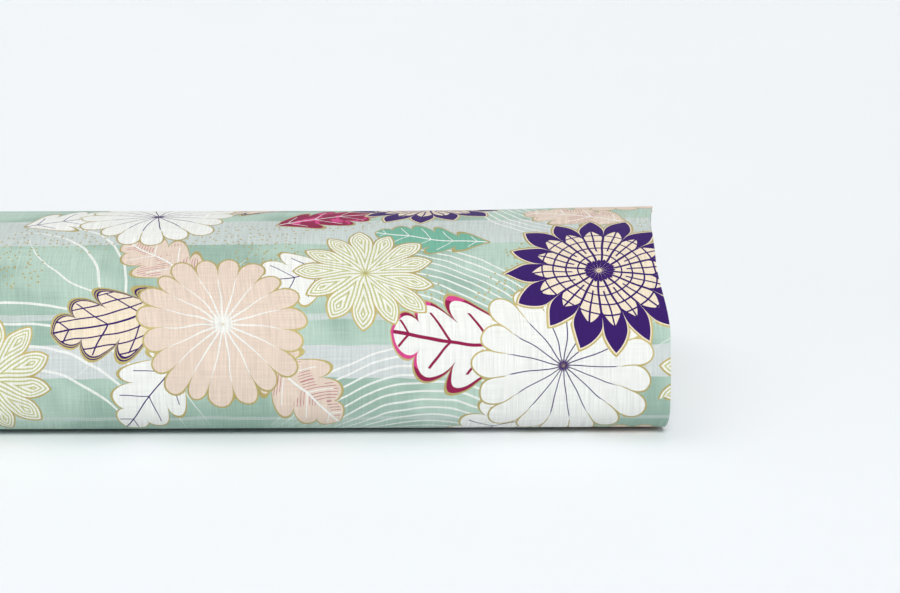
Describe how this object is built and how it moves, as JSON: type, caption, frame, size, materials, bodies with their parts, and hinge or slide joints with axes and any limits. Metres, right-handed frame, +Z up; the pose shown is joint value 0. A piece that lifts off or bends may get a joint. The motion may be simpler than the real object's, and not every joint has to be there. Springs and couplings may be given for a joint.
{
  "type": "fabric bolt",
  "caption": "Length of printed cotton folded double and wound flat round a hollow card board, lying on its broad side, with a free end that lifts and tuck flaps on the board.",
  "frame": {"origin": "centre of the base, on the surface the bolt lies on", "axes": "+X along the bolt towards the fold of the doubled cloth, +Y towards the back side where the free end hangs, +Z up through the broad side"},
  "size_m": [0.56, 0.1914, 0.094],
  "materials": {
    "printed_cotton": "plain-woven cotton sheeting with a floral print and gold outlines",
    "board_card": "brown fine-flute corrugated card",
    "rib_card": "brown folded card",
    "label_paper": "smooth white paper",
    "paper_tape": "cream paper tape"
  },
  "bodies": {
    "bolt": {"fabric_roll": "printed_cotton", "board_sleeve": "board_card", "rib_front": "rib_card", "rib_middle": "rib_card", "rib_back": "rib_card", "start_tape_left": "paper_tape", "start_tape_right": "paper_tape"},
    "tail": {"fabric_tail": "printed_cotton"},
    "label_flap": {"label_end_flap": "board_card", "end_label": "label_paper"},
    "label_tongue": {"label_end_tongue": "board_card"},
    "fold_flap": {"fold_end_flap": "board_card"},
    "fold_tongue": {"fold_end_tongue": "board_card"}
  },
  "joints": [
    {"name": "tail_lift", "type": "hinge", "parent": "bolt", "child": "tail", "pos_m": [0, 0.05816, 0.07985], "axis": [1, 0, 0], "range_deg": [0, 110]},
    {"name": "label_flap_hinge", "type": "hinge", "parent": "bolt", "child": "label_flap", "pos_m": [-0.2768, -0.0007, 0.045], "axis": [0, 1, 0], "range_deg": [0, 85]},
    {"name": "label_tongue_crease", "type": "hinge", "parent": "label_flap", "child": "label_tongue", "pos_m": [-0.27515, -0.0007, 0.0379], "axis": [0, -1, 0], "range_deg": [0, 85]},
    {"name": "fold_flap_hinge", "type": "hinge", "parent": "bolt", "child": "fold_flap", "pos_m": [0.2768, -0.0007, 0.045], "axis": [0, -1, 0], "range_deg": [0, 85]},
    {"name": "fold_tongue_crease", "type": "hinge", "parent": "fold_flap", "child": "fold_tongue", "pos_m": [0.27515, -0.0007, 0.0379], "axis": [0, 1, 0], "range_deg": [0, 85]}
  ],
  "couplings": [
    {"joint": "label_tongue_crease", "follows": "label_flap_hinge", "ratio": 1},
    {"joint": "fold_tongue_crease", "follows": "fold_flap_hinge", "ratio": 1}
  ]
}
